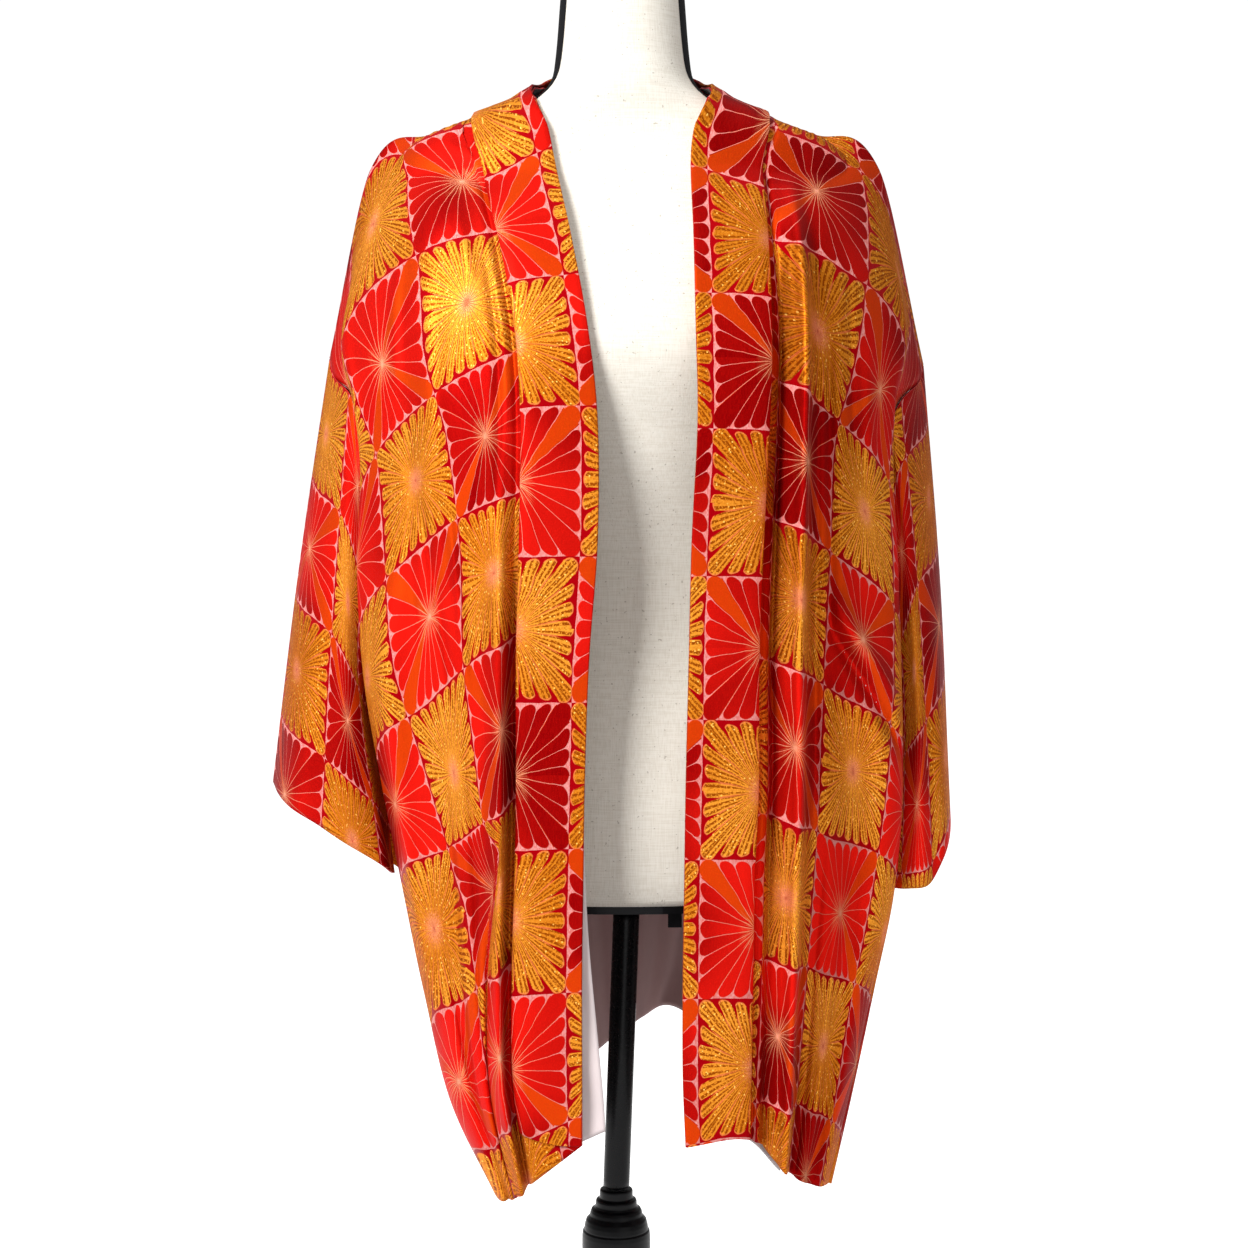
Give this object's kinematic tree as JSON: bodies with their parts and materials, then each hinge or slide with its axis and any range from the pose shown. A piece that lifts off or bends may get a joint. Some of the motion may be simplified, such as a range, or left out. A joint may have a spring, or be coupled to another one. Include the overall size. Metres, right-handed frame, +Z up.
{
  "type": "kimono jacket worn open on a limbless dress form with its stand",
  "caption": "Hip-length kimono jacket in red and gold flower-check silk, draped open over a limbless linen dress form on a tripod stand.",
  "frame": {"origin": "on the floor, under the middle of the whole", "axes": "+Z up, the jacket's open front faces -Y, +X to the viewer's right"},
  "size_m": [0.511, 0.376, 1.2023],
  "materials": {
    "check_silk": "red satin and gold metallic brocade check",
    "silk_lining": "plain pale pink silk",
    "linen_cover": "matte woven linen",
    "black_cover": "matte jersey",
    "black_plastic": "satin",
    "black_steel": "semi-gloss black"
  },
  "bodies": {
    "root": {"front_left": "check_silk", "front_right": "check_silk", "back_left": "check_silk", "back_right": "check_silk", "collar_left": "check_silk", "collar_right": "check_silk", "side_gusset_left": "check_silk", "side_gusset_right": "check_silk", "sleeve_left": "check_silk", "sleeve_right": "check_silk", "front_lining_left": "silk_lining", "front_lining_right": "silk_lining", "back_lining_left": "silk_lining", "back_lining_right": "silk_lining", "form_front": "linen_cover", "form_back": "black_cover", "neck_cap": "black_plastic", "bottom_plate": "black_plastic", "pole_flange": "black_plastic", "cover_tab": "black_cover", "pole": "black_steel", "hub": "black_plastic", "hub_column": "black_plastic", "leg_1": "black_steel", "leg_2": "black_steel", "leg_3": "black_steel", "foot_1": "black_plastic", "foot_2": "black_plastic", "foot_3": "black_plastic"}
  },
  "joints": []
}
